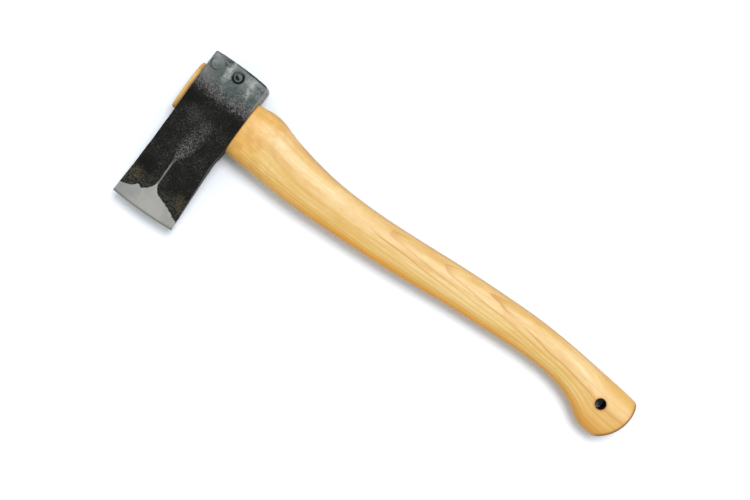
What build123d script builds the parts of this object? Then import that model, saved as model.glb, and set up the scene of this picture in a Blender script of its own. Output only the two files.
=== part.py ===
"""Short splitting hatchet: a forged head hung on a curved wooden handle, held by a kerf wedge and a cross wedge.

Frame: +X runs down the handle from the head to the knob, +Y points at the poll (the cutting edge is at -Y), +Z is up
with the tool lying on one cheek. The origin is on that cheek, straight below the centre of the eye. Millimetres.
The pieces are drawn about the tool's mid-plane and lifted by half the head's thickness when they are written.
"""

from build123d import *
from math import cos, degrees, pi, radians, sin, tan
import os

os.makedirs("parts", exist_ok=True)

# ---- forged head -------------------------------------------------------------------------------------------------
HEAD_THICKNESS = 40.0  # across the two flat cheeks
EYE_BLOCK_WIDTH = 57.8  # along the handle, from the head's top side to its underside
POLL_DEPTH = 16.5  # from the eye's back wall to the crown of the poll
POLL_CROWN = 1.4  # how far the poll domes between its corners
POLL_TOP_RADIUS = 1.6  # poll corner on the head's top side
POLL_HEEL_RADIUS = 4.4  # poll corner over the handle, which is hammered rounder
CHEEK_LENGTH = 36.8  # flat part of each cheek, from the crown of the poll to where the bit starts to thin
CHEEK_EDGE_RADIUS = 1.4  # broken edge round each flat cheek
BIT_LENGTH = 92.6  # from the eye's front wall to the cutting edge
TOE_FLARE = 2.9  # how far the toe stands past the head's top side
TOE_RUN = 97.0  # the top side flares over this length
HEEL_FLARE = 3.7  # how far the heel stands past the head's underside
HEEL_SLOPE = 0.09  # of the underside at the heel
WAIST = 1.4  # how far the underside is drawn in just in front of the handle
WAIST_SLOPE = 0.05  # of the underside where it leaves the waist
WAIST_RUN = 12.8  # length over which it is drawn in
WAIST_RADIUS = 50.0
UNDERSIDE_RUN = 7.0  # the underside runs straight this far in front of the eye
EDGE_RADIUS = 300.0  # curve of the cutting edge, seen from the cheek
EDGE_SKEW = 1.4  # degrees that the edge leans, toe forward
EDGE_LAND = 0.2  # thickness left along the cutting edge
BEVEL_ANGLE = 17.5  # degrees on each side where the grind starts, at the cutting edge
BEVEL_RADIUS = 600.0  # the ground bevels are slightly convex
BEVEL_REACH = 36.0  # how far back from the edge the grinding can touch
BEVEL_CLEAR = 40.0  # degrees at which the grinding opens behind that, clear of the cheeks
RIDGE_RISE = 1.6  # height of the forged ridge above the hollows beside it
RIDGE_FLANK = 3.4  # half width of the ridge's foot
RIDGE_SHIFT = -2.0  # the ridge meets the ground bevel this far from the eye's centre line, towards the toe
RIDGE_LEAN = 0.078  # how far the ridge leans back to the heel, per millimetre up the bit
HOLLOW_PLACE = 16.0  # from the ridge to the lowest line of each hollow
HOLLOW_SINK = 0.3  # how far the hollow dips below the ridge's foot
SIDE_DROP = 2.0  # how far the bit thins from the ridge's foot to its sides
# Bit stations: share of the way from the flat cheek to the cutting edge, share of the cheek's height at the ridge's
# foot, and share of the ridge, hollow and side drop.
BIT_STATIONS = [
    (0.00, 1.040, 0.00),
    (0.09, 0.965, 0.00),
    (0.24, 0.840, 0.10),
    (0.36, 0.730, 0.40),
    (0.50, 0.600, 0.80),
    (0.65, 0.460, 1.00),
    (0.82, 0.300, 1.00),
    (0.96, 0.185, 1.00),
    (1.10, 0.110, 1.00),
]
MARK_RADIUS = 4.2  # round test dimple on the upper cheek
MARK_DEPTH = 0.55
MARK_FROM_POLL = 9.0  # from the crown of the poll to the dimple's centre

# ---- eye, and the handle's tongue in it --------------------------------------------------------------------------
EYE_LENGTH = 49.0  # at the head's top side, from the front wall to the back wall
EYE_LENGTH_TAPER = 4.0  # the eye is this much shorter at the underside
EYE_WIDTH = 22.0  # at the head's top side
EYE_WIDTH_TAPER = 2.0  # the eye is this much narrower at the underside
EYE_FULLNESS = 2.3  # exponent of the eye's oval: 2 is an ellipse
EYE_EGG = 0.12  # the oval is fuller towards the poll by this share
EYE_RIM = 0.8  # chamfer round each mouth of the eye
FIT_GAP = 0.05  # between the eye's wall and the tongue, and round each wedge
TONGUE_PROUD = 5.2  # how far the tongue stands out of the head's top side
TONGUE_RIM = 0.9  # chamfer round the tongue's end

# ---- kerf wedge (wood) and cross wedge (steel) -------------------------------------------------------------------
WEDGE_DEPTH = 40.0  # how deep the wooden wedge is driven
WEDGE_THICK = 6.4  # at the tongue's end
WEDGE_TIP = 2.0
KERF_SPARE = 4.0  # the saw kerf runs this far past the wedge's tip
KERF_SAW = 1.6  # width of the saw cut at its bottom
CROSS_DEPTH = 26.0  # how deep the steel wedge is driven
CROSS_THICK = 3.4  # steel wedge, at its head
CROSS_TIP = 0.8
CROSS_ANGLE = 42.0  # degrees between the steel wedge and the kerf
CROSS_WALL = 2.3  # wood left between the steel wedge's corners and the eye's widest line
BARB_COUNT = 4
BARB_CUT = 0.35  # depth of the notches that raise the barbs

# ---- handle ------------------------------------------------------------------------------------------------------
SHOULDER_RIM = 1.2  # rounding of the shoulder that seats on the head
SECTION_FULLNESS = 2.35  # exponent of the handle's oval
SECTION_POINTS = 20
HANDLE_LENGTH = 435.0  # from the head's underside to the end of the knob
# Shoulder stations: distance from the head's underside, then how far the back, the belly and both sides together
# stand out past the eye's lower mouth.
SHOULDER_STATIONS = [
    (0.0, 0.9, 6.8, 7.6),
    (13.0, 2.2, 7.8, 8.6),
    (27.0, 1.5, 8.5, 8.4),
]
# Throat stations: distance from the head's underside, back line, belly line, thickness.
THROAT_STATIONS = [
    (42.0, 19.6, -31.9, 27.4),
    (62.0, 14.9, -32.8, 26.0),
]
# Grip stations: share of the way from the throat to the knob, back line, belly line, thickness.
GRIP_STATIONS = [
    (0.11, 10.1, -32.4, 24.6),
    (0.25, 8.5, -30.6, 23.8),
    (0.43, 10.9, -27.3, 23.4),
    (0.60, 14.8, -22.4, 23.0),
    (0.78, 17.5, -18.5, 22.8),
    (0.90, 18.3, -16.6, 22.8),
]
# Knob stations: distance from the knob's end, back line, belly line, thickness.
KNOB_STATIONS = [
    (88.0, 17.3, -17.0, 23.4),
    (66.0, 15.7, -20.7, 24.8),
    (50.0, 14.2, -27.5, 26.4),
    (36.0, 12.9, -35.8, 27.6),
    (24.0, 11.8, -38.0, 28.0),
]
KNOB_FALL = 0.11  # slope of the knob's back line towards its end
KNOB_END_RADIUS = 40.0  # the sawn end is round, seen from the cheek
KNOB_END_CROWN = -5.0  # height of the furthest point of the sawn end
KNOB_BACK_RADIUS = 6.0
KNOB_BELLY_RADIUS = 14.0
KNOB_RIM = 1.5  # rounding round the sawn end
HANG_HOLE_RADIUS = 5.0
HANG_HOLE_FROM_END = 30.0
HANG_HOLE_FROM_BACK = 23.2  # from the knob's back line to the hole's centre
HANG_HOLE_RIM = 0.7  # countersink round each mouth of the hole, where the knob is thickest

# ---- places worked out from the sizes ----------------------------------------------------------------------------
CHEEK = HEAD_THICKNESS / 2
TOP_SIDE = -EYE_BLOCK_WIDTH / 2
UNDERSIDE = EYE_BLOCK_WIDTH / 2
EYE_FRONT = -EYE_LENGTH / 2
POLL_Y = EYE_LENGTH / 2 + POLL_DEPTH
EDGE_Y = EYE_FRONT - BIT_LENGTH
CHEEK_END = POLL_Y - CHEEK_LENGTH
TONGUE_END = TOP_SIDE - TONGUE_PROUD
SHOULDER_X = UNDERSIDE + FIT_GAP
KNOB_END = SHOULDER_X + HANDLE_LENGTH
SPARE = 10.0  # how far a cutting tool runs past what it cuts


def oval(x, depth, thickness, centre, fullness, egg=0.0):
    """Closed oval face across the X axis: depth along Y, thickness along Z, fuller towards +Y by the share egg."""

    def corner(angle):
        c, s = cos(angle), sin(angle)
        reach = (abs(c) ** fullness + abs(s) ** fullness) ** (-1 / fullness)
        return (x, centre + depth / 2 * reach * c, thickness / 2 * reach * s * (1 + egg * c))

    ring = [corner(2 * pi * i / SECTION_POINTS) for i in range(SECTION_POINTS)]
    return Face(Wire([Edge.make_spline(ring, periodic=True)]))


def upright(outline, half_width):
    """Solid from an outline in the XZ plane, as wide as half_width to each side along Y."""
    return extrude(Plane.XZ * make_face(outline), half_width, both=True)


# ---- head --------------------------------------------------------------------------------------------------------
def head_plan():
    """The head seen from the cheek, as a flat face that runs past the cutting edge."""
    corner_y = POLL_Y - POLL_CROWN
    past_edge = EDGE_Y - SPARE
    top_corner, heel_corner = (TOP_SIDE, corner_y), (UNDERSIDE, corner_y)
    toe_start = (TOP_SIDE, EDGE_Y + TOE_RUN)
    toe = (TOP_SIDE - TOE_FLARE * (1 + SPARE / TOE_RUN) ** 2, past_edge)
    straight_end = (UNDERSIDE, EYE_FRONT - UNDERSIDE_RUN)
    waist = (UNDERSIDE - WAIST, straight_end[1] - WAIST_RUN)
    heel = (UNDERSIDE + HEEL_FLARE + HEEL_SLOPE * SPARE, past_edge)
    plan = make_face(
        [
            ThreePointArc(top_corner, (0, POLL_Y), heel_corner),
            Line(heel_corner, straight_end),
            Line(straight_end, waist),
            TangentArc(waist, heel, tangent=(WAIST_SLOPE, -1)),
            Line(heel, toe),
            TangentArc(toe_start, toe, tangent=(0, -1)),
            Line(toe_start, top_corner),
        ]
    )
    plan = fillet(nearest_corner(plan, straight_end), WAIST_RADIUS)
    plan = fillet(nearest_corner(plan, waist), WAIST_RADIUS)
    plan = fillet(nearest_corner(plan, heel_corner), POLL_HEEL_RADIUS)
    return fillet(nearest_corner(plan, top_corner), POLL_TOP_RADIUS)


def nearest_corner(plan, point):
    return min(plan.vertices(), key=lambda v: (v.X - point[0]) ** 2 + (v.Y - point[1]) ** 2)


def bit_section(share, height, relief):
    """One forged cross-section of the bit: a hollow on each side of a ridge, thinning to the sides."""
    y = CHEEK_END - share * (CHEEK_END - EDGE_Y)
    ridge = RIDGE_SHIFT + RIDGE_LEAN * (y - EDGE_Y - BEVEL_REACH)
    half = EYE_BLOCK_WIDTH / 2 + max(TOE_FLARE, HEEL_FLARE) + SPARE / 2
    foot = CHEEK * height
    side = max(foot - SIDE_DROP * relief, EDGE_LAND / 2)
    profile = [(ridge, foot + RIDGE_RISE * relief)]
    for way in (1, -1):
        profile.append((ridge + way * RIDGE_FLANK, foot))
        profile.append((ridge + way * HOLLOW_PLACE, foot - HOLLOW_SINK * relief))
        profile.append((way * half, side))
    upper = Spline([(x, y, z) for x, z in sorted(profile)])
    sides = [Line((x, y, side), (x, y, -side)) for x in (half, -half)]
    return Face(Wire([upper, upper.mirror(Plane.XY)] + sides))


def forged_blank():
    """Eye block and bit as they leave the hammer, before grinding."""
    prism = extrude(head_plan(), CHEEK, both=True)
    cheeks = [f for f in prism.faces() if abs(f.normal_at().Z) > 0.5]
    prism = fillet([e for f in cheeks for e in f.edges()], CHEEK_EDGE_RADIUS)
    bit = loft([bit_section(*station) for station in BIT_STATIONS])
    block = Pos(0, CHEEK_END + CHEEK_LENGTH, 0) * Box(2 * EYE_BLOCK_WIDTH, 2 * CHEEK_LENGTH, 2 * HEAD_THICKNESS)
    return prism & (bit + block)


def grind_envelope():
    """Everything inside the two convex bevels, swept round the curve of the cutting edge."""
    length = POLL_Y + SPARE - EDGE_Y
    angle = radians(BEVEL_ANGLE)
    bevel = JernArc((0, EDGE_LAND / 2), (cos(angle), sin(angle)), BEVEL_RADIUS, -degrees(BEVEL_REACH / BEVEL_RADIUS))
    behind = bevel @ 1
    far = (length, behind.Y + (length - behind.X) * tan(radians(BEVEL_CLEAR)))
    upper = [Line((0, 0), bevel @ 0), bevel, Line(behind, far), Line(far, (length, 0))]
    lower = [edge.mirror(Plane.XZ) for edge in upper]
    section = Plane((0, EDGE_Y, 0), x_dir=(0, 1, 0), z_dir=(1, 0, 0)) * make_face(upper + lower)
    axis = Axis((0, EDGE_Y + EDGE_RADIUS, 0), (0, 0, 1))
    swing = 30
    swept = revolve(section.rotate(axis, -swing / 2), axis, swing)
    return swept.rotate(Axis((0, EDGE_Y, 0), (0, 0, 1)), EDGE_SKEW)


def eye_face(x, gap=0.0):
    """Oval of the eye at a place along the handle, less the gap. The eye tapers evenly through the head."""
    share = (x - TOP_SIDE) / EYE_BLOCK_WIDTH
    length = EYE_LENGTH - EYE_LENGTH_TAPER * share - 2 * gap
    width = EYE_WIDTH - EYE_WIDTH_TAPER * share - 2 * gap
    return oval(x, length, width, 0, EYE_FULLNESS, EYE_EGG)


def mark_tool():
    """Ball that leaves the round dimple in the upper cheek."""
    ball = (MARK_RADIUS**2 + MARK_DEPTH**2) / (2 * MARK_DEPTH)
    return Pos(0, POLL_Y - MARK_FROM_POLL, CHEEK - MARK_DEPTH + ball) * Sphere(ball)


def make_head():
    eye = loft([eye_face(TOP_SIDE - SPARE), eye_face(UNDERSIDE + SPARE)])
    head = (forged_blank() & grind_envelope()) - eye
    mouths = [f for f in head.faces() if f.inner_wires()]
    head = chamfer([e for f in mouths for e in f.inner_wires()[0].edges()], EYE_RIM)
    return head - mark_tool()


# ---- wedges ------------------------------------------------------------------------------------------------------
def tongue_envelope():
    """The tongue without its kerf: it fills the eye and stands proud of the head's top side."""
    in_eye = loft([eye_face(TOP_SIDE, FIT_GAP), eye_face(SHOULDER_X, FIT_GAP)])
    proud = extrude(eye_face(TOP_SIDE, FIT_GAP), TONGUE_PROUD, dir=(-1, 0, 0))
    return in_eye + chamfer(proud.faces().sort_by(Axis.X)[0].edges(), TONGUE_RIM)


def wedge_outline(depth, thick, tip, gap):
    """Side view of a wedge driven into the tongue's end. With a gap it is the slot for it, open at the end."""
    lead = SPARE if gap else 0
    slope = (thick - tip) / 2 / depth
    mouth, point = thick / 2 + gap + slope * lead, tip / 2 + gap
    start, end = TONGUE_END - lead, TONGUE_END + depth + gap
    return Polyline((start, -mouth), (start, mouth), (end, point), (end, -point), close=True)


def kerf_wedge_tool(gap=0.0):
    return upright(wedge_outline(WEDGE_DEPTH, WEDGE_THICK, WEDGE_TIP, gap), EYE_LENGTH)


def kerf_tool():
    """What the saw and the driven wedge leave open in the tongue."""
    depth = WEDGE_DEPTH + KERF_SPARE
    saw = Pos(TONGUE_END + depth / 2, 0, 0) * Box(depth, 2 * EYE_LENGTH, KERF_SAW)
    return kerf_wedge_tool(FIT_GAP) + saw


def cross_half_width():
    """Half the steel wedge's width: its corners keep the wall's distance from the eye."""
    turn = radians(CROSS_ANGLE)
    return (EYE_WIDTH / 2 - CROSS_WALL - CROSS_THICK / 2 * cos(turn)) / sin(turn)


def cross_wedge_tool(gap=0.0):
    """Envelope of the steel wedge, turned across the kerf about the tongue's axis."""
    outline = wedge_outline(CROSS_DEPTH, CROSS_THICK, CROSS_TIP, gap)
    return upright(outline, cross_half_width() + gap).rotate(Axis.X, CROSS_ANGLE)


def make_kerf_wedge():
    return (kerf_wedge_tool() & tongue_envelope()) - cross_wedge_tool(FIT_GAP)


def make_cross_wedge():
    """The steel wedge, with shallow saw-tooth notches across both faces that raise its barbs."""
    wedge = cross_wedge_tool()
    pitch = CROSS_DEPTH / (BARB_COUNT + 2)
    slope = (CROSS_THICK - CROSS_TIP) / 2 / CROSS_DEPTH
    for i in range(1, BARB_COUNT + 1):
        start, end = TONGUE_END + i * pitch, TONGUE_END + (i + 0.5) * pitch
        face = CROSS_THICK / 2 - slope * i * pitch
        foot = face - slope * pitch / 2
        outline = Polyline((start, CROSS_THICK), (start, face - BARB_CUT), (end, foot), (end, CROSS_THICK), close=True)
        notch = upright(outline, EYE_LENGTH)
        for tool in (notch, notch.mirror(Plane.XY)):
            wedge = wedge - tool.rotate(Axis.X, CROSS_ANGLE)
    return wedge


# ---- handle ------------------------------------------------------------------------------------------------------
def handle_sections():
    """Ovals of the carved handle from its shoulder to past the knob's end, as (x, back, belly, thickness)."""
    mouth_half = (EYE_LENGTH - EYE_LENGTH_TAPER) / 2
    mouth_width = EYE_WIDTH - EYE_WIDTH_TAPER
    rows = [
        (SHOULDER_X + run, mouth_half + back, -mouth_half - belly, mouth_width + sides)
        for run, back, belly, sides in SHOULDER_STATIONS
    ]
    rows += [(SHOULDER_X + run, *sizes) for run, *sizes in THROAT_STATIONS]
    throat, knob = rows[-1][0], KNOB_END - KNOB_STATIONS[0][0]
    rows += [(throat + share * (knob - throat), *sizes) for share, *sizes in GRIP_STATIONS]
    rows += [(KNOB_END - run, *sizes) for run, *sizes in KNOB_STATIONS]
    tail, _, belly, thickness = KNOB_STATIONS[-1]
    for x in (KNOB_END - tail / 2, KNOB_END, KNOB_END + tail / 2):
        rows.append((x, knob_back(x), belly, thickness))
    return rows


def handle_body():
    """The carved handle below the head, running past the knob's end."""
    sections = [
        oval(x, back - belly, thickness, (back + belly) / 2, SECTION_FULLNESS)
        for x, back, belly, thickness in handle_sections()
    ]
    body = loft(sections)
    return fillet(body.faces().sort_by(Axis.X)[0].edges(), SHOULDER_RIM)


def knob_back(x):
    """Height of the knob's straight back line."""
    run, back = KNOB_STATIONS[-1][:2]
    return back - KNOB_FALL * (x - KNOB_END + run)


def knob_trim():
    """Keeps all of the handle up to its end: a round saw cut with its two corners rounded off."""
    clear = 0.3  # the straight sides of the tool pass this far outside the knob
    belly = KNOB_STATIONS[-1][2] - clear
    back = knob_back(KNOB_END) + clear
    centre = KNOB_END - KNOB_END_RADIUS
    top_corner, foot = [
        (centre + (KNOB_END_RADIUS**2 - (y - KNOB_END_CROWN) ** 2) ** 0.5, y) for y in (back, belly)
    ]
    back_start = (centre, knob_back(centre) + clear)
    plan = make_face(
        [
            Line((SHOULDER_X, HEAD_THICKNESS), (centre, HEAD_THICKNESS)),
            Line((centre, HEAD_THICKNESS), back_start),
            Line(back_start, top_corner),
            ThreePointArc(top_corner, (KNOB_END, KNOB_END_CROWN), foot),
            Line(foot, (SHOULDER_X, belly)),
            Line((SHOULDER_X, belly), (SHOULDER_X, HEAD_THICKNESS)),
        ]
    )
    plan = fillet(nearest_corner(plan, top_corner), KNOB_BACK_RADIUS)
    plan = fillet(nearest_corner(plan, foot), KNOB_BELLY_RADIUS)
    return extrude(plan, HEAD_THICKNESS, both=True)


def hanging_hole():
    """Drill and countersinks for the hanging hole, through the knob's flat sides."""
    x = KNOB_END - HANG_HOLE_FROM_END
    start = KNOB_STATIONS[-1][3] / 2 - HANG_HOLE_RIM
    sink = Cone(HANG_HOLE_RADIUS, HANG_HOLE_RADIUS + SPARE, SPARE, align=(Align.CENTER, Align.CENTER, Align.MIN))
    sink = Pos(0, 0, start) * sink
    hole = Cylinder(HANG_HOLE_RADIUS, HEAD_THICKNESS) + sink + sink.mirror(Plane.XY)
    return Pos(x, knob_back(x) - HANG_HOLE_FROM_BACK, 0) * hole


def make_handle():
    carved = handle_body() & knob_trim()
    skin = max(carved.faces(), key=lambda f: f.area)
    carved = fillet([e for e in skin.edges() if e.center().X > KNOB_END / 2], KNOB_RIM)
    tongue = tongue_envelope() - kerf_tool() - cross_wedge_tool(FIT_GAP)
    return carved + tongue - hanging_hole()


PIECES = {
    "head": make_head,
    "handle": make_handle,
    "kerf_wedge": make_kerf_wedge,
    "cross_wedge": make_cross_wedge,
}
for name, make in PIECES.items():
    export_step(Pos(0, 0, CHEEK) * make(), f"parts/{name}.step")
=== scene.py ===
from math import copysign, exp, hypot, pi, radians, sqrt

import bmesh
import bpy
from mathutils import Matrix, Vector, noise


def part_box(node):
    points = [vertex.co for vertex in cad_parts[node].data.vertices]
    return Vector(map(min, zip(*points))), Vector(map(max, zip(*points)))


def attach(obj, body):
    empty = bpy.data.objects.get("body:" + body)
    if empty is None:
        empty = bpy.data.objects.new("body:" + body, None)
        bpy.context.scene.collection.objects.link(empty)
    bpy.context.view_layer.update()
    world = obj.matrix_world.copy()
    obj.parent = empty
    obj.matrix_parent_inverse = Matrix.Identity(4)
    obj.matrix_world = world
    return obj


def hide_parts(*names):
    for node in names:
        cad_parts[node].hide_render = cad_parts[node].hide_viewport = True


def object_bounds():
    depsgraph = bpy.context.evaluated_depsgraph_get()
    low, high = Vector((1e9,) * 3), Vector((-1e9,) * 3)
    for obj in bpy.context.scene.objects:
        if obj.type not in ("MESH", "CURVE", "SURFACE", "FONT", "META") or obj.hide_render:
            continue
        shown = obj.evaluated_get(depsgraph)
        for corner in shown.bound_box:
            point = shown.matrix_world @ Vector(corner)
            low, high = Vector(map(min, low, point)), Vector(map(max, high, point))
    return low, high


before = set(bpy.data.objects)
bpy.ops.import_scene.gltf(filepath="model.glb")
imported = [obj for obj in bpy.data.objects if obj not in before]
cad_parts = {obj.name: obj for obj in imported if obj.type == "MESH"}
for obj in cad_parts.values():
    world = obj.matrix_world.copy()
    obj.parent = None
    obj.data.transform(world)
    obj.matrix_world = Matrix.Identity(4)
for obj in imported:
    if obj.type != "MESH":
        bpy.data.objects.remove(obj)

cad_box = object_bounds()
MM = 0.001
scene = bpy.context.scene
scene.view_settings.view_transform = "Standard"

# ---- camera --------------------------------------------------------------------------------------------
# The hatchet lies on one cheek and is seen from straight above, turned so that the handle runs down to the
# right. The middle of the view lies a little towards the head and the poll from the middle of the tool.
VIEW_TURN = radians(36.5)
VIEW_OFFSET = Vector((-24.7, 18.2, 0.0)) * MM
VIEW_WIDTH = 675 * MM
VIEW_DISTANCE = 1680 * MM
SENSOR_WIDTH = 36.0

middle = (Vector(cad_box[0]) + Vector(cad_box[1])) / 2
camera = bpy.data.objects.new("camera", bpy.data.cameras.new("camera"))
camera.data.sensor_width = SENSOR_WIDTH
camera.data.lens = SENSOR_WIDTH * VIEW_DISTANCE / VIEW_WIDTH
camera.location = middle + VIEW_OFFSET + Vector((0, 0, VIEW_DISTANCE))
camera.rotation_euler = (0, 0, VIEW_TURN)
scene.collection.objects.link(camera)
scene.camera = camera


# ---- table and light -----------------------------------------------------------------------------------
# A white table under one broad lamp, which stands on the poll side and leaves a soft shadow along the belly.
# The tool would rest on the cheek's edge beside the handle and on the knob, so the table leans under both.
class Value:
    """A number that changes over a surface. A sum written on it adds its Math nodes to the finish."""

    def __init__(self, finish, socket):
        self.finish = finish
        self.socket = socket

    def math(self, operation, *values):
        return self.finish.add("ShaderNodeMath", {"operation": operation}, *values)

    def __add__(self, other):
        return self.math("ADD", self, other)

    __radd__ = __add__

    def __sub__(self, other):
        return self.math("SUBTRACT", self, other)

    def __rsub__(self, other):
        return self.math("SUBTRACT", other, self)

    def __mul__(self, other):
        return self.math("MULTIPLY", self, other)

    __rmul__ = __mul__

    def __truediv__(self, other):
        return self.math("DIVIDE", self, other)

    def __rtruediv__(self, other):
        return self.math("DIVIDE", other, self)

    def __pow__(self, other):
        return self.math("POWER", self, other)

    def __rpow__(self, other):
        return self.math("POWER", other, self)

    def least(self, other):
        return self.math("MINIMUM", self, other)

    def most(self, other):
        return self.math("MAXIMUM", self, other)

    def size(self):
        return self.math("ABSOLUTE", self)

    def fade(self, low, high, to_low=0.0, to_high=1.0):
        """Runs smoothly from to_low to to_high as this value runs from low to high."""
        if low > high:
            low, high, to_low, to_high = high, low, to_high, to_low
        settings = {"interpolation_type": "SMOOTHSTEP"}
        return self.finish.add("ShaderNodeMapRange", settings, self, low, high, to_low, to_high)


class Finish:
    """A procedural finish, or the sky, that is written one node at a time."""

    def __init__(self, name, kind=bpy.data.materials, shader="Principled BSDF", **constants):
        self.data = kind.new(name)
        self.data.use_nodes = True
        self.nodes = self.data.node_tree.nodes
        self.links = self.data.node_tree.links
        self.shader = self.nodes[shader]
        for socket, value in constants.items():
            self.shader.inputs[socket.replace("_", " ")].default_value = value

    def add(self, kind, settings, *inputs, output=0, **named):
        """Adds a node: its settings first, then the values or links of its sockets, in order or by name."""
        node = self.nodes.new(kind)
        for name, value in settings.items():
            if name == "points":
                curve = node.mapping.curves[0]
                while len(curve.points) < len(value):
                    curve.points.new(0.5, 0.5)
                for point, location in zip(curve.points, value):
                    point.location = location
                node.mapping.update()
            elif name == "stops":
                ramp = node.color_ramp
                while len(ramp.elements) < len(value):
                    ramp.elements.new(0.5)
                for element, (place, colour) in zip(ramp.elements, value):
                    element.position = place
                    element.color = colour
            else:
                setattr(node, name, value)
        by_name = [(key.replace("_", " "), value) for key, value in named.items()]
        for key, value in list(enumerate(inputs)) + by_name:
            if isinstance(value, Value):
                self.links.new(value.socket, node.inputs[key])
            elif value is not None:
                node.inputs[key].default_value = value
        return Value(self, node.outputs[output])

    def outputs(self, value, *names):
        """Other outputs of the node that a value comes from."""
        return [Value(self, value.socket.node.outputs[name]) for name in names]

    def place(self):
        return self.add("ShaderNodeTexCoord", {}, output=3)

    def axes(self, place):
        """The three coordinates of a place, in millimetres."""
        split = self.add("ShaderNodeSeparateXYZ", {}, place)
        return [axis * 1000.0 for axis in self.outputs(split, "X", "Y", "Z")]

    def stretched(self, place, scale):
        """A place whose axes are scaled, so that a pattern on it is that many times finer."""
        return self.add("ShaderNodeMapping", {}, place, (0, 0, 0), (0, 0, 0), scale)

    def grain(self, place, scale, detail=2.0, roughness=0.5, distortion=0.0):
        """Soft noise from 0 to 1."""
        look = {"Scale": scale, "Detail": detail, "Roughness": roughness, "Distortion": distortion}
        return self.add("ShaderNodeTexNoise", {}, place, **look)

    def ramp(self, value, *stops):
        return self.add("ShaderNodeValToRGB", {"stops": stops}, value)

    def blend(self, factor, low, high):
        """Mixes two colours, which are the Mix node's seventh and eighth sockets."""
        skipped = [None] * 5
        return self.add("ShaderNodeMix", {"data_type": "RGBA"}, factor, *skipped, low, high, output=2)

    def shown(self):
        """1 where this is seen, straight, mirrored or through something clear, and 0 where it only lights."""
        path = self.add("ShaderNodeLightPath", {})
        rays = self.outputs(path, "Is Camera Ray", "Is Glossy Ray", "Is Transmission Ray")
        return rays[0].most(rays[1]).most(rays[2])

    def feed(self, socket, value):
        self.links.new(value.socket, self.shader.inputs[socket])

    def bump(self, height, strength, distance):
        """Feeds the shader's normal from a height from 0 to 1, where 1 stands for distance in millimetres."""
        normal = self.add("ShaderNodeBump", {}, Strength=strength, Distance=distance * MM, Height=height)
        self.feed("Normal", normal)


def srgb(red, green, blue):
    """A colour given as it is seen, from 0 to 255, as the shaders take it."""
    seen = [channel / 255 for channel in (red, green, blue)]
    return (*[((c + 0.055) / 1.055) ** 2.4 if c > 0.04045 else c / 12.92 for c in seen], 1.0)


TABLE_SIZE = 6.0
TABLE_DROP = 0.2 * MM  # the table passes this far below the cheek's edge, so that the two don't touch
TABLE_LEAN = radians(0.8)
TABLE_COLOUR = (0.76, 0.82, 0.90, 1.0)
TABLE_GLOW = 0.40  # how much of the table's white doesn't depend on the lamp
GLOW_COLOUR = (1.0, 1.0, 1.0, 1.0)
GLOW_REACH = 45 * MM  # how near the tool has to be to dim the glow into painted shade
GLOW_SHADE = 0.14  # the glow loses this share more than the tool hides of the sky above it
LAMP_HEIGHT = radians(69)
LAMP_TURN = radians(84)
LAMP_WIDTH = radians(26)
LAMP_STRENGTH = 2.36
LAMP_COLOUR = (1.0, 0.985, 0.955)
SKY_STRENGTH = 0.33
SKY_COLOUR = (0.94, 0.97, 1.0, 1.0)

mesh = bpy.data.meshes.new("table")
bm = bmesh.new()
bmesh.ops.create_grid(bm, x_segments=1, y_segments=1, size=TABLE_SIZE / 2)
pivot = Matrix.Translation((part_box("head")[1].x, 0, -TABLE_DROP))
bmesh.ops.transform(bm, matrix=pivot @ Matrix.Rotation(-TABLE_LEAN, 4, "Y"), verts=bm.verts)
bm.to_mesh(mesh)
bm.free()
table = bpy.data.objects.new("table", mesh)
scene.collection.objects.link(table)

white = Finish("white_table", Base_Color=TABLE_COLOUR, Roughness=0.9, Specular_IOR_Level=0.0)
# Beside and under the tool the glow is dimmed by ambient occlusion: painted shade on the table, also seen
# through the hanging hole.
near = white.add("ShaderNodeAmbientOcclusion", {"samples": 8}, Distance=GLOW_REACH, output=1)
lit = (near * (1 + GLOW_SHADE) - GLOW_SHADE).most(0.0)
glow = white.add("ShaderNodeEmission", {}, GLOW_COLOUR, white.shown() * TABLE_GLOW * lit)
both = white.add("ShaderNodeAddShader", {}, Value(white, white.shader.outputs[0]), glow)
white.links.new(both.socket, white.nodes["Material Output"].inputs["Surface"])
mesh.materials.append(white.data)

sky = Finish("sky", bpy.data.worlds, "Background", Color=SKY_COLOUR)
sky.feed("Strength", sky.add("ShaderNodeMapRange", {}, sky.shown(), 0.0, 1.0, SKY_STRENGTH, 1.0))
scene.world = sky.data

lamp = bpy.data.objects.new("lamp", bpy.data.lights.new("lamp", "SUN"))
lamp.data.energy = LAMP_STRENGTH
lamp.data.angle = LAMP_WIDTH
lamp.data.color = LAMP_COLOUR
lamp.rotation_euler = (0, pi / 2 - LAMP_HEIGHT, LAMP_TURN)
scene.collection.objects.link(lamp)

# ---- forged head ---------------------------------------------------------------------------------------
# One bar of steel, forged hot round an eye drift. The hammer leaves flat dents on the eye block and a raised
# ridge between two hollows down the bit. The fire leaves black scale, and only the bevels are ground.
HALF_WIDTH = 28.9  # half the eye block's width along the handle
CHEEK = 20.0  # half its thickness
POLL_Y = 41.0
POLL_CROWN = 1.4
POLL_CORNERS = (1.6, 4.4)  # on the top side and over the handle
EDGE_Y = -117.1
EDGE_SKEW = 0.0244  # the toe stands this much forward, per millimetre across
EDGE_RADIUS = 300.0
EDGE_HALF = 0.1  # half the thickness that is left along the edge
CHEEK_END = 4.2
TOE_FLARE = 2.9
TOE_RUN = 97.0  # the top side flares over this length
WAIST = 1.4  # the underside is drawn in by this much in front of the handle
WAIST_START = -31.5
WAIST_RUN = 12.8
HEEL_SLOPE = 0.05  # of the underside where it leaves the waist
HEEL_RADIUS = 1820.0  # of its flare from there to the heel
BEVEL_SLOPE = 0.315
BEVEL_RADIUS = 520.0
BIT_SLOPE = 0.148  # of each cheek down the bit
BIT_FOOT = 2.9  # half thickness that the slope of the bit's upper part would run out to at the edge
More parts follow.
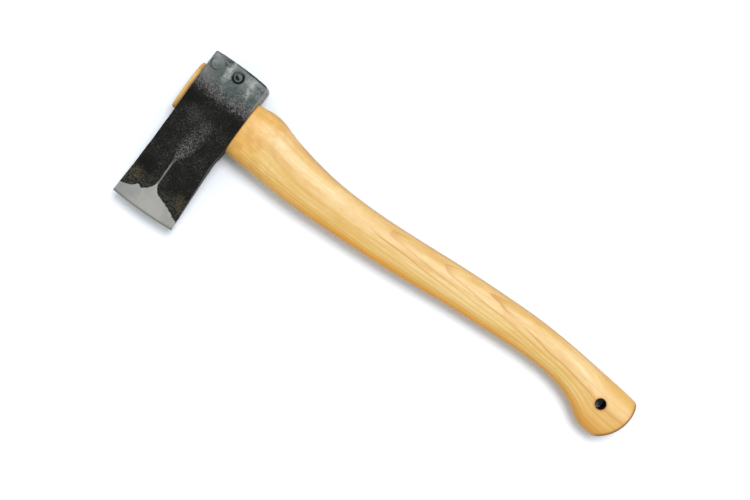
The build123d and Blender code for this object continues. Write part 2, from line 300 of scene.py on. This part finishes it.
RIDGE_X = -1.7  # where the ridge of the upper cheek meets the bevel. The lower cheek's is its mirror image.
RIDGE_SHIFT = 6.7  # how far that ridge has moved towards the handle where it reaches the eye
RIDGE_TURN = (52.0, 38.0)  # how far back from the edge it starts to move, and over what length
HEAD_ROWS = (84, 196, 28)  # rows of the mesh along the handle, from edge to poll, and through the thickness
RIM_ROWS = 3
BLOCK_RIM = 1.5
EDGE_RIM = 0.45
CHEEK_MARKS = (0.30, 0.16)  # depth of the hammer's and the scale's marks on the cheeks
WALL_MARKS = (0.30, 0.10)  # and on the side walls
POLL_MARKS = 0.22
DISHES = {  # hammer dents on the upper (1) and lower (-1) cheek: place, radius, depth
    1: [(-21.2, 30.0, 5.8, 0.34), (22.0, 27.0, 7.5, 0.12), (-10.0, 17.0, 9.0, 0.16), (13.0, 24.0, 7.0, 0.14),
        (4.0, 8.0, 10.0, 0.18), (23.0, 17.0, 7.0, 0.20), (-21.0, 8.0, 8.0, 0.16)],
    -1: [(18.0, 27.0, 7.0, 0.24), (-12.0, 29.0, 8.0, 0.18), (2.0, 16.0, 9.0, 0.16), (-20.0, 12.0, 7.0, 0.2),
         (21.0, 6.0, 8.0, 0.16)],
}
DIMPLE = (1.3, 31.0, 4.2, 0.55)  # round dimple on the upper cheek: place, radius, depth


def clamp(value, low=0.0, high=1.0):
    return max(low, min(high, value))


def soft(value):
    """A smooth step from 0 to 1."""
    value = clamp(value)
    return value * value * (3 - 2 * value)


def bell(value):
    return exp(-value * value)


def row_place(share, rows, rim, reach):
    """Where a row of the mesh lies, with a few rows kept for the rounded rim."""
    flat = 1 - 2 * RIM_ROWS / rows
    if abs(share) <= flat:
        return share / flat * (reach - rim)
    return copysign(reach - rim + (abs(share) - flat) / (1 - flat) * rim, share)


def edge_line(x):
    return EDGE_Y + EDGE_SKEW * x + x * x / (2 * EDGE_RADIUS)


def side_reach(y, underside):
    """How far the head's top side or underside stands from its middle."""
    if not underside:
        return HALF_WIDTH + TOE_FLARE * clamp((EDGE_Y + TOE_RUN - y) / TOE_RUN, 0.0, 1.1) ** 2
    past_waist = max(0.0, WAIST_START - WAIST_RUN - y)
    drawn_in = WAIST * soft((WAIST_START - y) / WAIST_RUN)
    return HALF_WIDTH - drawn_in + HEEL_SLOPE * past_waist + past_waist**2 / (2 * HEEL_RADIUS)


def bevel_height(depth):
    """Half thickness that the grinding leaves, this far back from the edge."""
    return EDGE_HALF + BEVEL_SLOPE * depth - depth * depth / (2 * BEVEL_RADIUS)


def hammered(x, y, seed):
    """Depth of the forging marks, from 0 to 1: broad dents, smaller ones on them."""
    broad = noise.noise(Vector((x / 15, y / 15, seed)))
    small = noise.noise(Vector((x / 5.5, y / 5.5, seed + 9)))
    return clamp(0.5 + 0.55 * broad + 0.25 * small)


def scaled(x, y, seed):
    """Depth of the crust of scale, from 0 to 1: grains and pits."""
    grains = noise.noise(Vector((x / 1.7, y / 1.7, seed)))
    pits = noise.noise(Vector((x / 3.1, y / 3.1, seed + 4)))
    return clamp(0.5 + 0.5 * grains) * 0.6 + 0.4 * soft((pits - 0.15) * 4)


def dish(x, y, place):
    at_x, at_y, radius, depth = place
    return depth * soft((1 - hypot(x - at_x, y - at_y) / radius) * 2.2)


def dimple(x, y):
    at_x, at_y, radius, depth = DIMPLE
    return depth * soft((radius + 0.35 - hypot(x - at_x, y - at_y)) / 0.7)


def ridge_shift(depth):
    """How far the ridge has moved aside, this far back from the edge."""
    return RIDGE_SHIFT * soft((depth - RIDGE_TURN[0]) / RIDGE_TURN[1])


def bevel_reach(x):
    """How far back from the edge the grinding reaches: most at the ridge, and less towards both ends."""
    across = sqrt((x - RIDGE_X) ** 2 + 0.3)
    peak = 14.5 * exp(-across / 3.5)
    toe_side = 7.2 * soft((-x - 12) / 18)
    heel_side = 10.4 * clamp((x - 10) / 22) ** 1.3
    ragged = 1.2 * bell((x + 16.0) / 2.6) - 2.0 * bell((x + 12.3) / 2.2) + 1.6 * bell((x - 8) / 6)
    return 19.4 + peak - toe_side - heel_side + ragged


def forged_half(x, y, side):
    """Half thickness of the forging before it is ground, on the upper (1) or lower (-1) cheek."""
    depth = y - edge_line(x)
    reach = bevel_reach(side * x - ridge_shift(depth))
    level = bevel_height(reach) - BIT_SLOPE * reach  # so that the grinding runs out just where it should
    relief = soft((96 - depth) / 55)
    bank = BIT_FOOT + BIT_SLOPE * depth + relief * (level - BIT_FOOT)
    flat = CHEEK - 0.02
    half = 0.5 * (bank + flat - sqrt((bank - flat) ** 2 + 1.2))
    half -= CHEEK_MARKS[0] * hammered(x, y, 3.0 * side) * (0.5 + 0.5 * soft((CHEEK_END - y) / 30))
    half -= CHEEK_MARKS[1] * scaled(x, y, 7.0 * side) * soft((22 - y) / 40)
    for place in DISHES[side]:
        half -= dish(x, y, place)
    return half - dimple(x, y) if side > 0 else half


def shaped(co):
    """Moves a point of a cube of half size 1 to its place on the head. Also gives how deep the grinding went
    there, and where wear and painted sheen go: from 0 on a cheek to 1 at a rim and 2 on a side wall."""
    u, v, w = co
    fore = clamp((1 - v) / 2)
    rim = BLOCK_RIM + (EDGE_RIM - BLOCK_RIM) * soft((fore - 0.25) / 0.7)
    x = row_place(u, HEAD_ROWS[0], rim, HALF_WIDTH)
    y = row_place(v, HEAD_ROWS[1], BLOCK_RIM, (POLL_Y - EDGE_Y) / 2) + (POLL_Y + EDGE_Y) / 2
    z = row_place(w, HEAD_ROWS[2], rim, CHEEK)
    from_side = min(HALF_WIDTH - abs(x), POLL_Y - y)
    wear = bell(from_side / 0.9) * bell((CHEEK - abs(z)) / 0.9) + 2 * soft((CHEEK - 1.2 - abs(z)) / 0.8)

    # The rims are rounded, and then the poll's corners, seen from the cheek.
    out_x = max(0.0, abs(x) - (HALF_WIDTH - rim))
    out_y = max(0.0, y - (POLL_Y - rim))
    out_z = max(0.0, abs(z) - (CHEEK - rim))
    plan = max(out_x, out_y)
    if plan and out_z:
        pull = max(plan, out_z) / hypot(plan, out_z)
        x = copysign(abs(x) - out_x * (1 - pull), x)
        y -= out_y * (1 - pull)
        z = copysign(abs(z) - out_z * (1 - pull), z)
    corner = POLL_CORNERS[x > 0]
    out_x = max(0.0, abs(x) - (HALF_WIDTH - corner))
    out_y = max(0.0, y - (POLL_Y - corner))
    if out_x and out_y:
        pull = max(out_x, out_y) / hypot(out_x, out_y)
        x = copysign(HALF_WIDTH - corner + out_x * pull, x)
        y = POLL_Y - corner + out_y * pull

    # The poll is domed, the edge curved and the sides flared, and then both cheeks are forged and ground.
    y -= POLL_CROWN * (x / HALF_WIDTH) ** 2 * clamp((y - 10) / 30)
    y += (edge_line(x) - EDGE_Y) * clamp(y / EDGE_Y)
    x *= side_reach(y, x > 0) / HALF_WIDTH
    depth = max(0.0, y - edge_line(x))
    forged = forged_half(x, y, 1 if z >= 0 else -1)
    ground = bevel_height(depth)
    z *= min(forged, ground) / CHEEK

    # The side walls and the poll's face carry marks of their own.
    wall = WALL_MARKS[0] * hammered(y + 50, z, 21.0) + WALL_MARKS[1] * scaled(y + 50, z, 23.0)
    wall *= abs(x) / HALF_WIDTH * soft(depth / 30)
    x -= copysign(wall * soft((abs(x) - 20) / 8), x)
    y -= POLL_MARKS * hammered(x, z + 60, 31.0) * soft((y - 30) / 9)
    return Vector((x, y, z + CHEEK)), forged - ground, wear


bm = bmesh.new()
bmesh.ops.create_cube(bm, size=2.0)
for axis, rows in enumerate(HEAD_ROWS):
    along = [e for e in bm.edges if abs(e.verts[0].co[axis] - e.verts[1].co[axis]) > 1.5]
    bmesh.ops.subdivide_edges(bm, edges=along, cuts=rows - 1)
depth_of_grind = bm.verts.layers.float.new("ground")
wear_and_sheen_of_rim = bm.verts.layers.float.new("wear")

# The cube's front face closes to the thin cutting edge: each of its points goes to the rim beside it.
front = [v for v in bm.verts if v.co.y < -0.9999]
rims = {(round(v.co.x, 4), v.co.z > 0): v for v in front if abs(abs(v.co.z) - 1) < 1e-4}
onto = {v: rims[(round(v.co.x, 4), v.co.z > 0)] for v in front}
onto = {v: rim_vert for v, rim_vert in onto.items() if v is not rim_vert}
bmesh.ops.weld_verts(bm, targetmap=onto)
for vert in bm.verts:
    vert.co, vert[depth_of_grind], vert[wear_and_sheen_of_rim] = shaped(vert.co)
bmesh.ops.dissolve_degenerate(bm, dist=0.004, edges=bm.edges)
bmesh.ops.scale(bm, vec=(MM, MM, MM), verts=bm.verts)
bmesh.ops.recalc_face_normals(bm, faces=bm.faces)
mesh = bpy.data.meshes.new("forged_head")
bm.to_mesh(mesh)
bm.free()
head = bpy.data.objects.new("forged_head", mesh)
scene.collection.objects.link(head)

EYE_LENGTH = (49.0, 45.0)  # at the head's top side and at its underside
EYE_WIDTH = (22.0, 20.0)
EYE_FULLNESS = 2.3  # exponent of the eye's oval: 2 is an ellipse
EYE_EGG = 0.12  # the oval is fuller towards the poll by this share
EYE_RIM = 0.8  # chamfer round each mouth
EYE_POINTS = 96
CUTTER_PROUD = 3.0  # the cutter stands out of both mouths by this much
SHARP_EDGE = radians(34)  # edges that turn more than this are shaded as corners


def eye_ring(bm, x, grow):
    """One oval of the eye's cutter, at x along the handle, standing out of the eye's wall by grow."""
    share = clamp((x + HALF_WIDTH) / (2 * HALF_WIDTH))
    length = EYE_LENGTH[0] + (EYE_LENGTH[1] - EYE_LENGTH[0]) * share
    width = EYE_WIDTH[0] + (EYE_WIDTH[1] - EYE_WIDTH[0]) * share
    ring = bmesh.ops.create_circle(bm, segments=EYE_POINTS, radius=1.0)["verts"]
    for vert in ring:
        along, across = vert.co.x, vert.co.y
        radius = (abs(along) ** EYE_FULLNESS + abs(across) ** EYE_FULLNESS) ** (-1 / EYE_FULLNESS)
        across *= 1 + EYE_EGG * along * radius
        y = along * radius * (length / 2 + grow)
        vert.co = Vector((x, y, CHEEK + across * radius * (width / 2 + grow)))
    return ring


bm = bmesh.new()
inside, outside = HALF_WIDTH - EYE_RIM, HALF_WIDTH + CUTTER_PROUD
widest = EYE_RIM + CUTTER_PROUD
steps = [(-outside, widest), (-inside, 0), (inside, 0), (outside, widest)]
rings = [set(eye_ring(bm, x, grow)) for x, grow in steps]
loops = [[e for e in bm.edges if e.verts[0] in ring and e.verts[1] in ring] for ring in rings]
for one, two in zip(loops, loops[1:]):
    bmesh.ops.bridge_loops(bm, edges=one + two)
for loop in (loops[0], loops[-1]):
    bmesh.ops.holes_fill(bm, edges=loop)
bmesh.ops.recalc_face_normals(bm, faces=bm.faces)
bmesh.ops.scale(bm, vec=(MM, MM, MM), verts=bm.verts)
cutter_mesh = bpy.data.meshes.new("eye_cutter")
bm.to_mesh(cutter_mesh)
bm.free()
cutter = bpy.data.objects.new("eye_cutter", cutter_mesh)
scene.collection.objects.link(cutter)
cut = head.modifiers.new("eye", "BOOLEAN")
cut.object = cutter
cut.solver = "EXACT"
finished = bpy.data.meshes.new_from_object(head.evaluated_get(bpy.context.evaluated_depsgraph_get()))
head.modifiers.clear()
head.data = finished
bpy.data.objects.remove(cutter)

bm = bmesh.new()
bm.from_mesh(finished)
bmesh.ops.remove_doubles(bm, verts=bm.verts, dist=0.00001)
for face in bm.faces:
    face.smooth = True
for edge in bm.edges:
    edge.smooth = len(edge.link_faces) == 2 and edge.calc_face_angle() < SHARP_EDGE
bm.to_mesh(finished)
bm.free()
finished.name = "forged_head"

steel = Finish("forged_steel", Specular_IOR_Level=0.05)
place = steel.place()
x, y, z = steel.axes(place)
ground = steel.add("ShaderNodeAttribute", {"attribute_name": "ground"}, output=2)
wear = steel.add("ShaderNodeAttribute", {"attribute_name": "wear"}, output=2)
dust = steel.grain(place, 1000.0, 1.0, 0.6)
grit = steel.grain(place, 600.0, 2.0, 0.6)
clot = steel.grain(place, 230.0, 2.0, 0.55)
cloud = steel.grain(place, 85.0, 2.0, 0.55)
broad = steel.grain(place, 33.0, 1.0, 0.5)
speckle = dust * 0.65 + grit * 0.35
smear = clot * 0.6 + grit * 0.4
upper = z.fade(19.0, 21.0)


def distance(x, y, at_x, at_y):
    """How far a place is from an upright line through the head or the handle, in millimetres."""
    return ((x - at_x) * (x - at_x) + (y - at_y) * (y - at_y)) ** 0.5


def spot(at_x, at_y, radius, blur, wander=4.0):
    """A round patch on the upper cheek, 1 inside."""
    away = distance(x, y, at_x, at_y) + (cloud - 0.5) * wander
    return away.fade(radius - blur, radius + blur, 1.0, 0.0) * upper


# Black scale: paler where it has crumbled, sooty in places, and ashen and brown beside the bevels.
crust = steel.ramp(speckle, (0.34, srgb(16, 16, 16)), (0.48, srgb(33, 33, 32)), (0.57, srgb(47, 48, 45)),
                   (0.70, srgb(86, 88, 83)))
crust = steel.blend((broad * 0.5 + cloud * 0.5).fade(0.42, 0.60, 0.0, 0.6), crust, srgb(20, 20, 19))
crumbled = spot(-11.0, -17.0, 7.0, 5.0, 9.0).most(spot(5.0, -22.0, 6.0, 5.0, 9.0) * 0.7)
crust = steel.blend(crumbled * dust.fade(0.36, 0.66) * 0.55, crust, srgb(88, 90, 86))
sooty = spot(-24.0, -7.0, 7.0, 6.0, 8.0).most(spot(25.0, -8.0, 7.0, 6.0, 8.0))
sooty = sooty.most(spot(-20.0, -79.0, 9.0, 5.0, 8.0)).most(y.fade(-22.0, -6.0, 0.0, 0.5))
crust = steel.blend(sooty * 0.65, crust, srgb(13, 13, 12))
ashen = (y - x.size() * 0.12).fade(-84.0, -98.0) * (dust * 0.5 + grit * 0.5).fade(0.42, 0.60)
crust = steel.blend(ashen * 0.38, crust, srgb(94, 95, 87))
brown = (spot(-24.0, -91.5, 5.0, 5.0, 14.0) * 0.75).most(spot(23.0, -90.0, 5.5, 5.5, 14.0))
brown = brown * (dust * 0.6 + grit * 0.4).fade(0.38, 0.60, 0.1, 0.7)
crust = steel.blend(brown, crust, srgb(92, 84, 60))

# The crest of the ridge is worn bright: a line above the bevels that frays into speckles further up.
from_edge = y - EDGE_Y
from_crest = x - RIDGE_X - from_edge.fade(RIDGE_TURN[0], sum(RIDGE_TURN), 0.0, 5.2)
crest_width = from_edge.fade(50.0, 72.0, 0.95, 8.0) + (cloud - 0.5) * 2.0
fan = (from_crest + (cloud - 0.5) * 1.6).size() / crest_width
crest = fan.fade(0.45, 1.25, 1.0, 0.0) * from_edge.fade(62.0, 108.0, 1.0, 0.0) * upper
solid_line = from_edge.fade(46.0, 60.0, 0.9, 0.0)
crust = steel.blend(crest * solid_line.most(speckle.fade(0.42, 0.60) * 0.75), crust, srgb(124, 125, 120))

# The eye block: grey and grainy at first, then hammered and brushed smooth up to the poll.
mottled = y + x.fade(5.0, 25.0, 0.0, 1.3) + (cloud - 0.5) * 14.0 + (clot - 0.5) * 9.0
dusty = mottled + (dust - 0.5) * 12.0
grainy = steel.ramp(speckle, (0.36, srgb(46, 47, 46)), (0.50, srgb(72, 73, 72)), (0.64, srgb(112, 113, 111)))
smooth = steel.ramp(cloud * 0.45 + broad * 0.55, (0.38, srgb(72, 84, 83)), (0.50, srgb(101, 109, 108)),
                    (0.60, srgb(134, 139, 138)))
smooth = steel.blend(grit.fade(0.42, 0.64, 0.0, 0.30), smooth, srgb(132, 134, 132))
smooth = steel.blend(clot.fade(0.46, 0.34, 0.0, 0.35), smooth, srgb(70, 78, 77))
block = steel.blend(dusty.fade(8.0, 26.0), grainy, smooth)
# A pale band between the dents up to the poll: painted highlight.
band = (x + 8.6 + (cloud - 0.5) * 9.0).size().fade(0.8, 4.8, 1.0, 0.0) * y.fade(17.0, 27.0) * upper
block = steel.blend(band * smear.fade(0.34, 0.60, 0.15, 0.85), block, srgb(164, 168, 166))
block = steel.blend(spot(-21.0, 18.0, 6.0, 5.0, 8.0) * 0.45, block, srgb(112, 115, 111))
shade = (spot(3.0, 20.0, 6.0, 5.0) * 0.3).most(spot(24.5, 31.0, 8.5, 4.0, 9.0))
block = steel.blend(shade * smear.fade(0.38, 0.58, 0.9, 0.5), block, srgb(62, 74, 70))
blotch = spot(-12.4, 36.4, 4.3, 1.6, 6.0) * clot.fade(0.36, 0.56) * 0.85
block = steel.blend(blotch, block, srgb(58, 48, 50))

# The deepest dent's dark rim on its lower side, a pale streak towards the handle, and the dimple's dark rim
# and core, darkest on their lower side. The dark rims and the core are painted shade.
dent = distance(x, y, *DISHES[1][0][:2])
dent_rim = dent.fade(4.6, 5.4) * dent.fade(5.6, 6.4, 1.0, 0.0) * (x + y).fade(12.0, 4.0) * upper
block = steel.blend(dent_rim * 0.9, block, srgb(38, 42, 42))
# The streak is partly wear and partly a painted highlight.
streak = (x - 17.0 + (cloud - 0.5) * 7.0 + (clot - 0.5) * 3.0).size().fade(0.4, 3.4, 1.0, 0.0)
streak = streak * y.fade(15.0, 24.0) * y.fade(34.0, 39.0, 1.0, 0.3) * upper
block = steel.blend(streak * smear.fade(0.40, 0.58, 0.0, 0.8), block, srgb(160, 162, 162))
cup = distance(x, y, *DIMPLE[:2])
cup_rim = cup.fade(3.2, 4.4) * cup.fade(5.2, 7.0, 1.0, 0.0) * (y - x * 0.9).fade(38.0, 30.0, 0.3, 1.0) * upper
block = steel.blend(cup_rim, block, srgb(10, 15, 16))
core = cup.fade(3.2, 2.2) * (x * 0.6 + y).fade(33.4, 31.4) * upper
block = steel.blend(core * 0.95, block, srgb(14, 20, 21))
forged_tone = steel.blend(dusty.fade(1.0, 9.0), crust, block)

# Side walls and rims, brightest under the poll, and the dark upper rim of the poll. The walls' light tone is
# wear and painted reflection of the white table, and the rims' bright line is wear and painted highlight.
side_wall = wear.fade(1.0, 2.0) * x.fade(25.5, 28.0, 0.25, 0.85) * y.fade(-2.0, 14.0, 0.12, 1.0)
wall_tone = steel.blend(grit.fade(0.35, 0.65), srgb(98, 98, 98), srgb(184, 183, 182))
forged_tone = steel.blend(side_wall, forged_tone, wall_tone)
rim_wear_and_highlight = wear.fade(0.25, 0.95) * wear.fade(1.0, 1.6, 1.0, 0.0)
rim_wear_and_highlight = rim_wear_and_highlight * x.fade(20.0, 27.0, 0.1, 0.8) * y.fade(8.0, 20.0)
forged_tone = steel.blend(rim_wear_and_highlight, forged_tone, srgb(178, 179, 178))
crown = y + x * x * (POLL_CROWN / HALF_WIDTH**2)
dark_poll_rim = crown.fade(38.4, 39.8) * x.fade(-4.0, 12.0, 0.25, 0.85) * z.fade(31.0, 37.0)
forged_tone = steel.blend(dark_poll_rim, forged_tone, srgb(18, 19, 20))

# The bevels are ground bright, with a duller honed strip along the edge, and end raggedly at the scale.
ragged = (clot - 0.5) * 0.34 + (grit - 0.5) * 0.26
bare = (ground + ragged).fade(-0.05, 0.05)
scratch = steel.grain(steel.stretched(place, (1400, 100, 300)), 1.0, 2.0, 0.6)
bevel_tone = steel.ramp(scratch * 0.25 + broad * 0.45 + cloud * 0.3, (0.38, srgb(148, 149, 146)),
                        (0.50, srgb(162, 161, 155)), (0.60, srgb(174, 171, 166)))
bevel_tone = steel.blend(x.fade(-30.0, -12.0, 0.35, 0.0), bevel_tone, srgb(146, 147, 145))
bevel_tone = steel.blend(x.fade(12.0, 30.0, 0.0, 0.4), bevel_tone, srgb(152, 148, 138))
honed = (from_edge - x * EDGE_SKEW - x * x / (2 * EDGE_RADIUS)).fade(1.4, 2.4, 1.0, 0.0)
bevel_tone = steel.blend(honed * 0.8, bevel_tone, srgb(120, 122, 108))

on_block = mottled.fade(0.5, 10.0)
steel.feed("Base Color", steel.blend(bare, forged_tone, bevel_tone))
steel.feed("Metallic", bare.most(on_block * 0.35).most(crest * solid_line * 0.4))
steel.feed("Roughness", bare.fade(0.0, 1.0, 0.58, 0.36))
crust_height = (dust * 0.5 + grit * 0.5) * (1.0 - bare) * on_block.fade(0.0, 1.0, 1.0, 0.4)
steel.bump(crust_height + scratch * bare * 0.05, 0.7, 0.7)
head.data.materials.clear()
head.data.materials.append(steel.data)
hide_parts("head")
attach(head, "root")

# ---- handle --------------------------------------------------------------------------------------------
# One piece of hickory, shaped, sanded and oiled. The growth rings run nearly along it, so they make long
# arches on its sides and close lines along the belly. It fills the head's eye, where two wedges spread it.
RING = 3.0  # millimetres between growth rings
PITH = (28.0, 76.0)  # centre of the rings: how far behind the middle line, and how high above the table
GRIP_HALF = 17.5  # half depth of the grip in front of the knob
GRIP_SPAN = (28.95, 463.95)
KNOB_CENTRE = (423.95, -5.0)  # the sawn end is an arc round this point
HANG_HOLE = (433.95, -10.74)
MIDDLE_RANGE = (-20.0, 5.0)  # the sizes drawn below stay within these two
HALF_RANGE = (10.0, 30.0)
# The handle's middle line and half depth, seen from its side: share of the way along it, then the size.
# Just past the head the grain runs a little nearer the belly than the middle line does.
MIDDLE_LINE = [(0.0, -3.0), (0.06, -3.5), (0.14, -8.9), (0.21, -11.2), (0.31, -11.0), (0.42, -8.2),
               (0.54, -4.0), (0.65, -0.5), (0.73, 0.8), (0.80, 0.0), (0.85, -2.5), (0.89, -6.6),
               (0.92, -11.4), (0.95, -13.4), (1.0, -15.0)]
GRAIN_LINE = [(0.0, -2.6), (0.03, -5.3), (0.09, -9.0), (0.14, -10.2)] + MIDDLE_LINE[3:]
HALF_DEPTH = [(0.0, 26.3), (0.06, 27.3), (0.14, 23.8), (0.21, 21.2), (0.31, 19.5), (0.54, 18.8), (0.73, 17.5),
              (0.80, 17.3), (0.85, 18.2), (0.89, 20.9), (0.92, 24.3), (0.95, 25.3), (1.0, 25.3)]

hickory = Finish("oiled_hickory", Specular_IOR_Level=0.35)
x, y, z = hickory.axes(hickory.place())
along = (x - GRIP_SPAN[0]) / (GRIP_SPAN[1] - GRIP_SPAN[0])


def drawn_line(points, span):
    """A size along the handle, read off a smooth curve."""
    low, high = span
    shares = [(share, (size - low) / (high - low)) for share, size in points]
    return hickory.add("ShaderNodeFloatCurve", {"points": shares}, 1.0, along) * (high - low) + low


middle_line = drawn_line(MIDDLE_LINE, MIDDLE_RANGE)
half_depth = drawn_line(HALF_DEPTH, HALF_RANGE)
grain_line = drawn_line(GRAIN_LINE, MIDDLE_RANGE)
off_middle = y - middle_line
edgewise = off_middle / half_depth  # -1 along the belly, 1 along the back
grown = hickory.add("ShaderNodeCombineXYZ", {}, x, off_middle, z)


def fibres(lengthwise, crosswise, detail=2.0, roughness=0.5, distortion=0.0):
    """Soft noise that follows the handle's bend, with this many waves per millimetre along and across it."""
    place = hickory.stretched(grown, (lengthwise, crosswise, crosswise))
    return hickory.grain(place, 1.0, detail, roughness, distortion)


# Growth rings round the pith, which climb from belly to back towards the knob. They follow the back of the
# knob and spread over its belly. Each shows as one dark line of summer wood, up to about 3 mm wide.
bend = fibres(0.012, 0.03)
ripple = fibres(0.03, 0.2)
climb = hickory.add("ShaderNodeMapRange", {}, x, 143.0, 370.0, 0.72, 14.4)
under_back = y - middle_line - half_depth + GRIP_HALF
spread = under_back.least(0.0) * GRIP_HALF / (half_depth * 2.0 - GRIP_HALF)
knob = x.fade(322.0, 352.0)
off_grain = ((y - grain_line) * (1.0 - knob) + (under_back.most(0.0) + spread) * knob).least(15.5)
from_pith = ((off_grain - PITH[0]) ** 2.0 + (z - PITH[1]) ** 2.0) ** 0.5
ring = (climb - from_pith + (bend - 0.5) * 2.0) / RING + (ripple - 0.5) * 0.3
step = hickory.add("ShaderNodeMath", {"operation": "FRACT"}, ring)
number = hickory.add("ShaderNodeMath", {"operation": "FLOOR"}, ring)
strength = hickory.add("ShaderNodeTexWhiteNoise", {"noise_dimensions": "1D"}, W=number)
from_line = step * from_pith * RING / (PITH[0] - off_grain)
line = from_line.fade(0.3, 2.6, 1.0, 0.0) * from_line.fade(0.0, 0.35)
line = line * strength.fade(0.0, 1.0, 0.55, 1.0) * off_grain.fade(8.0, 13.0, 1.0, 0.72)
line = line * x.fade(170.0, 196.0, 0.10, 1.0).most(edgewise.fade(-0.30, -0.62))
line = line * (1.0 - x.fade(312.0, 332.0) * off_grain.fade(1.0, 5.0) * 0.9)

# The wood: broad streaks, the rings' dark lines, fine threads, fibres and short flecks.
streak = fibres(0.008, 0.13)
cross = fibres(0.05, 0.09, 2.0, 0.6)
thread = fibres(0.008, 0.36, 1.0)
fibre = fibres(0.03, 0.9, 3.0, 0.6)
fleck = fibres(0.14, 0.8, 1.0)
wood = hickory.ramp(streak * 0.7 + cross * 0.3, (0.38, srgb(228, 187, 114)), (0.50, srgb(240, 205, 139)),
                    (0.62, srgb(248, 219, 162)))
wood = hickory.blend(line * x.fade(150.0, 210.0, 0.95, 0.84), wood, srgb(194, 130, 54))
wood = hickory.blend(thread.fade(0.54, 0.62) * edgewise.fade(0.2, -0.5, 0.15, 0.30), wood, srgb(206, 148, 70))
wood = hickory.blend(fibre.fade(0.42, 0.64, 0.0, 0.24), wood, srgb(214, 166, 96))
wood = hickory.blend(fleck.fade(0.56, 0.70, 0.0, 0.2), wood, srgb(206, 154, 84))

# Tints: golden towards the belly and orange along it, each partly the wood's own and partly painted shade;
# brown along the back's upper edge and orange next to the head, which are painted shade; and a paler band low
# on the side, which is painted light.
wood = hickory.blend(edgewise.fade(0.25, -0.75, 0.0, 0.36), wood, srgb(255, 214, 110))
heartwood_and_shade = x.fade(60.0, 180.0, 0.60, 1.38) * x.fade(290.0, 340.0, 1.0, 0.84)
wood = hickory.blend(edgewise.fade(-0.55, -1.0, 0.0, 0.65) * heartwood_and_shade, wood, srgb(254, 171, 38))
# Brown along the back's upper edge, fading out on the lower half: painted shade.
higher = z.fade(12.0, 26.0, 0.3, 1.0)
wood = hickory.blend(edgewise.fade(0.70, 0.94, 0.0, 0.50) * higher, wood, srgb(214, 158, 80))
wood = hickory.blend(edgewise.fade(0.88, 1.0, 0.0, 0.55) * higher, wood, srgb(156, 114, 58))
# Deeper orange next to the head: painted shade.
wood = hickory.blend(x.fade(66.0, 38.0, 0.0, 0.50), wood, srgb(242, 184, 84))
at_knob = x.fade(405.0, 435.0)
wood = hickory.blend(at_knob * edgewise.fade(-0.1, 0.5, 0.40, 0.58), wood, srgb(228, 178, 94))
# A paler band low on the side between the head and the knob: painted light.
low = edgewise.fade(0.0, -0.35) * edgewise.fade(-0.72, -0.5) * x.fade(160.0, 200.0) * x.fade(350.0, 300.0)
wood = hickory.blend(low * 0.25, wood, srgb(255, 230, 170))
# More orange along the knob's belly: partly the wood's own and partly painted shade.
wood = hickory.blend(at_knob * edgewise.fade(-0.2, -0.8, 0.0, 0.3), wood, srgb(236, 146, 36))
curl = fibres(0.11, 0.17, 2.0, 0.5, 0.2)
wood = hickory.blend(curl.fade(0.34, 0.74) * x.fade(92.0, 50.0, 0.0, 0.5), wood, srgb(212, 150, 70))

# Painted shade on the wood inside the eye's mouth, darker end grain on the knob with painted shade on its
# chamfered rim, and painted shade round and inside the hanging hole.
in_mouth = x.fade(-32.6, -30.2) * x.fade(20.0, 28.0, 1.0, 0.0)
wood = hickory.blend(in_mouth * 0.7, wood, srgb(120, 84, 46))
from_centre = distance(x, y, *KNOB_CENTRE)
wood = hickory.blend(from_centre.fade(32.0, 38.5, 0.0, 0.4) * x.fade(446.0, 450.0), wood, srgb(222, 158, 76))
# The sawn end is darker end grain, with painted shade on its chamfered rim.
end_grain_and_shade = from_centre.fade(36.8, 39.2, 0.0, 0.8) * x.fade(436.0, 446.0) * z.fade(22.0, 31.0, 0.4, 1.0)
wood = hickory.blend(end_grain_and_shade, wood, srgb(126, 84, 40))
# Round and inside the hanging hole: painted shade.
bore = distance(x, y, *HANG_HOLE)
wood = hickory.blend(bore.fade(8.2, 5.6, 0.0, 0.45), wood, srgb(196, 128, 62))
wood = hickory.blend(bore.fade(5.6, 5.0), wood, srgb(10, 7, 6))
hickory.feed("Base Color", wood)
hickory.feed("Roughness", bore.fade(5.8, 5.2, 0.40, 0.95))
hickory.bump(fibre * 0.6 + line * 0.4, 0.15, 0.1)
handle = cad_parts["handle"]
handle.data.materials.clear()
handle.data.materials.append(hickory.data)

# ---- wooden wedge --------------------------------------------------------------------------------------
# A thin wedge of dry hardwood, driven with glue into the saw kerf in the handle's tongue and cut off flush
# with the tongue's end. Its pores run along it, as the handle's do.
wedge_wood = Finish("wedge_wood", Roughness=0.6, Specular_IOR_Level=0.3)
pores = wedge_wood.grain(wedge_wood.stretched(wedge_wood.place(), (50, 1200, 1200)), 1.0, 3.0, 0.6)
wedge_wood.feed("Base Color", wedge_wood.ramp(pores, (0.3, srgb(176, 122, 66)), (0.7, srgb(206, 156, 96))))
wedge_wood.bump(pores, 0.2, 0.2)
kerf_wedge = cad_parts["kerf_wedge"]
kerf_wedge.data.materials.clear()
kerf_wedge.data.materials.append(wedge_wood.data)

# ---- steel wedge ---------------------------------------------------------------------------------------
# A small plain steel wedge with raised barbs, driven across the wooden one, which keeps it from working out.
# Its grey is mottled all over.
wedge_steel = Finish("wedge_steel", Metallic=1.0, Roughness=0.4)
rust = wedge_steel.grain(wedge_steel.place(), 500.0, 3.0, 0.6)
rusty = wedge_steel.ramp(rust, (0.35, srgb(120, 116, 112)), (0.65, srgb(168, 168, 168)))
wedge_steel.feed("Base Color", rusty)
wedge_steel.bump(rust, 0.2, 0.15)
cross_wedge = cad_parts["cross_wedge"]
cross_wedge.data.materials.clear()
cross_wedge.data.materials.append(wedge_steel.data)
